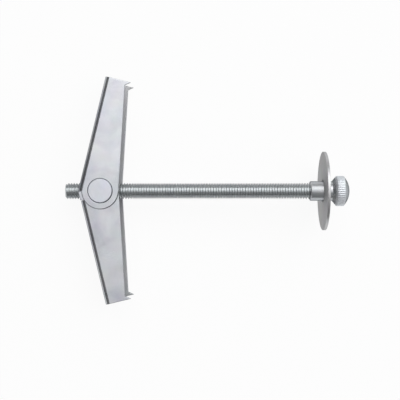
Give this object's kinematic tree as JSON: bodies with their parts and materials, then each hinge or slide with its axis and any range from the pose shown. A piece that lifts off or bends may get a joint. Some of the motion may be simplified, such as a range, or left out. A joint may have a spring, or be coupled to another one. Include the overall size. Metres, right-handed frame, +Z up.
{
  "type": "spring toggle anchor",
  "caption": "Metal cavity-wall anchor: threaded rod with sprung folding channel wings on a cross nut at one end, washer and knurled sleeve nut at the other.",
  "frame": {"origin": "centre of the bounding box, on the ground plane that the anchor lies on", "axes": "+Z up; +X along the rod towards the sleeve nut, with the rod's axis raised about four degrees from X because the washer's rim stands lower than the wings; the wings spread along Y"},
  "size_m": [0.1066, 0.0842, 0.0296],
  "materials": {
    "zinc_rod": "bright zinc-plated rolled thread",
    "zinc_turned": "zinc-plated turned bar",
    "zinc_sheet": "zinc-plated pressed sheet, satin with faint mottling",
    "spring_steel": "drawn spring wire",
    "zinc_washer": "zinc-plated, satin",
    "bright_nut": "bright zinc-plated, straight knurl"
  },
  "bodies": {
    "rod": {"threaded_rod": "zinc_rod"},
    "cross_nut": {"trunnion_nut": "zinc_turned", "torsion_spring": "spring_steel"},
    "left_wing": {"wing_left": "zinc_sheet"},
    "right_wing": {"wing_right": "zinc_sheet"},
    "knurled_nut": {"sleeve_nut": "bright_nut"},
    "washer_ring": {"washer": "zinc_washer"}
  },
  "joints": [
    {"name": "toggle_travel", "type": "slide", "parent": "rod", "child": "cross_nut", "axis": [-0.9976, 0, -0.0692], "range_m": [-0.068, 0.0086]},
    {"name": "left_wing_fold", "type": "hinge", "parent": "cross_nut", "child": "left_wing", "pos_m": [-0.03951, 0, 0.00902], "axis": [0.0692, 0, -0.9976], "range_deg": [0, 76.45], "stiffness_Nm_per_rad": 0.06, "springref_deg": -34.38, "deforming": ["torsion_spring"]},
    {"name": "right_wing_fold", "type": "hinge", "parent": "cross_nut", "child": "right_wing", "pos_m": [-0.03951, 0, 0.00902], "axis": [-0.0692, 0, 0.9976], "range_deg": [0, 76.45], "stiffness_Nm_per_rad": 0.06, "springref_deg": -34.38, "deforming": ["torsion_spring"]},
    {"name": "sleeve_nut_travel", "type": "slide", "parent": "rod", "child": "knurled_nut", "axis": [-0.9976, 0, -0.0692], "range_m": [-0.007, 0.004]},
    {"name": "washer_slide", "type": "slide", "parent": "knurled_nut", "child": "washer_ring", "axis": [-0.9976, 0, -0.0692], "range_m": [-0.0028, 0.045]}
  ]
}
